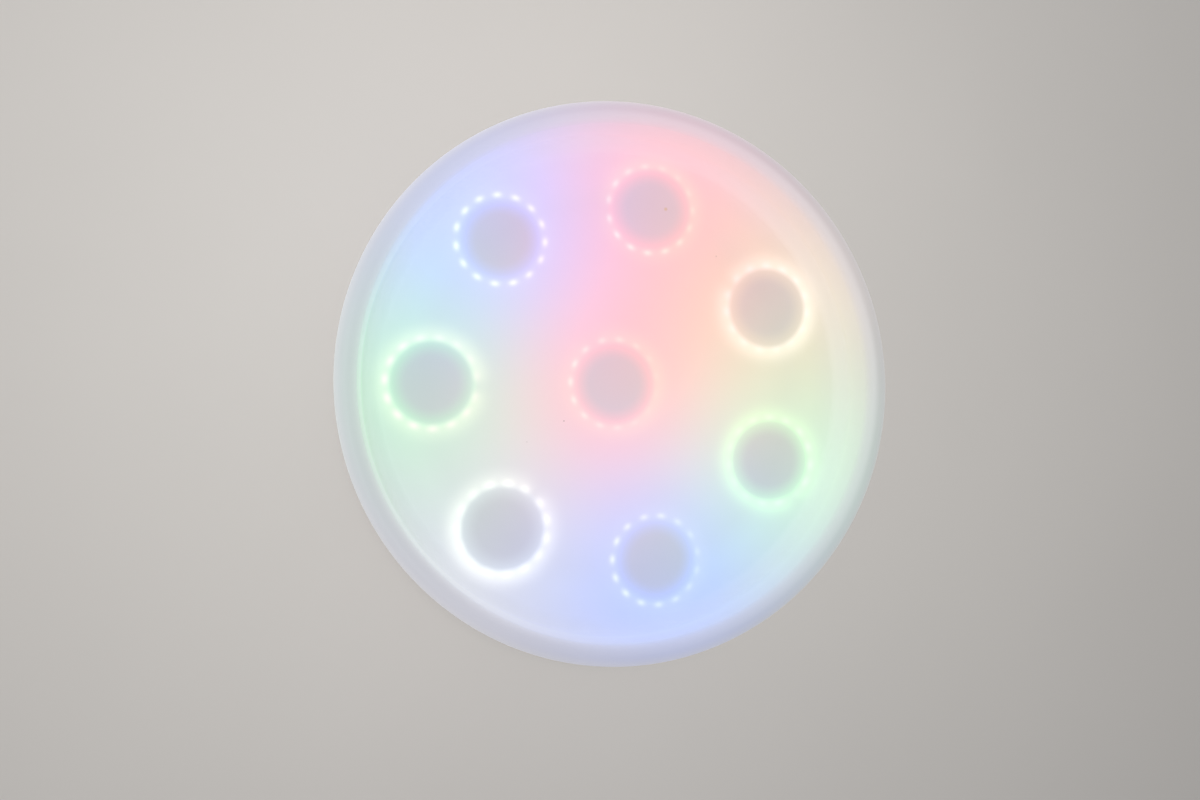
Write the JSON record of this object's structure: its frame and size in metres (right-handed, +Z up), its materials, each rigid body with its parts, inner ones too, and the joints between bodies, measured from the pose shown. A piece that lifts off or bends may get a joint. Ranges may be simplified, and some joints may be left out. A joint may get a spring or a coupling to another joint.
{
  "type": "sensory light table",
  "caption": "Low round play table with a raised rim, a recessed glowing tray over ring-shaped touch lights, and a control pocket underneath.",
  "frame": {"origin": "on the floor, under the middle of the table", "axes": "+Z up; +Y away from the control pocket; the pods' ring starts on -X"},
  "size_m": [0.4999, 0.5, 0.256],
  "materials": {
    "lit_polyethylene": "translucent satin, lit from inside",
    "white_abs": "fine grain",
    "white_deck_plastic": "satin",
    "pod_plastic": "satin",
    "touch_plate_laminate": "solder mask",
    "grey_foam": "open cell foam",
    "black_rubber": "matt",
    "brass": "turned",
    "zinc_steel": "zinc plated",
    "spring_steel": "drawn",
    "nickel_nut": "nickel plated",
    "black_moulding": "fine grain",
    "cream_nylon": "satin",
    "green_board": "solder mask",
    "blue_wrap": "shrunk film",
    "black_cable": "cable jacket",
    "grey_button": "satin",
    "status_lens": "clear dome",
    "led_strip_red": "white strip, lit",
    "led_strip_amber": "white strip, lit",
    "led_strip_green": "white strip, lit",
    "led_strip_blue": "white strip, lit",
    "led_strip_white": "white strip, lit",
    "led_strip_mint": "white strip, lit"
  },
  "bodies": {
    "table": {"body_shell": "lit_polyethylene", "base_plate": "white_abs", "control_pocket": "white_abs", "mounting_deck": "white_deck_plastic", "pod_cup_centre": "pod_plastic", "pod_cup_1": "pod_plastic", "pod_cup_2": "pod_plastic", "pod_cup_3": "pod_plastic", "pod_cup_4": "pod_plastic", "pod_cup_5": "pod_plastic", "pod_cup_6": "pod_plastic", "pod_cup_7": "pod_plastic", "touch_plate_centre": "touch_plate_laminate", "touch_plate_1": "touch_plate_laminate", "touch_plate_2": "touch_plate_laminate", "touch_plate_3": "touch_plate_laminate", "touch_plate_4": "touch_plate_laminate", "touch_plate_5": "touch_plate_laminate", "touch_plate_6": "touch_plate_laminate", "touch_plate_7": "touch_plate_laminate", "foam_springs": "grey_foam", "base_gasket": "black_rubber", "rubber_feet": "black_rubber", "loom_grommet": "black_rubber", "threaded_inserts": "brass", "base_screws": "zinc_steel", "foot_screws": "zinc_steel", "standoff_screws": "zinc_steel", "small_screws": "zinc_steel", "bracket_screws": "zinc_steel", "battery_bracket": "zinc_steel", "deck_standoffs": "zinc_steel", "power_spring": "spring_steel", "mode_spring": "spring_steel", "cover_hinge_pin": "spring_steel", "charge_socket_nut": "nickel_nut", "power_switch": "black_moulding", "mode_switch": "black_moulding", "charge_socket": "black_moulding", "board_components": "black_moulding", "board_connectors": "cream_nylon", "loom_clips": "cream_nylon", "control_board": "green_board", "battery_pack": "blue_wrap", "main_loom": "black_cable", "ring_loom": "black_cable", "inner_leads": "black_cable", "status_light": "status_lens", "led_ring_centre": "led_strip_red", "led_ring_1": "led_strip_red", "led_ring_2": "led_strip_amber", "led_ring_3": "led_strip_green", "led_ring_4": "led_strip_blue", "led_ring_7": "led_strip_blue", "led_ring_5": "led_strip_white", "led_ring_6": "led_strip_mint"},
    "power_button": {"power_button": "grey_button"},
    "mode_button": {"mode_button": "grey_button"},
    "socket_cover": {"charge_socket_cover": "grey_button"}
  },
  "joints": [
    {"name": "power_press", "type": "slide", "parent": "table", "child": "power_button", "axis": [0, 0, 1], "range_m": [0, 0.0015], "stiffness_N_per_m": 600, "springref_m": -0.001, "deforming": ["power_spring"]},
    {"name": "mode_press", "type": "slide", "parent": "table", "child": "mode_button", "axis": [0, 0, 1], "range_m": [0, 0.0015], "stiffness_N_per_m": 600, "springref_m": -0.001, "deforming": ["mode_spring"]},
    {"name": "socket_cover_hinge", "type": "hinge", "parent": "table", "child": "socket_cover", "pos_m": [0.0475, -0.098, 0.0332], "axis": [0, -1, 0], "range_deg": [0, 100]}
  ]
}
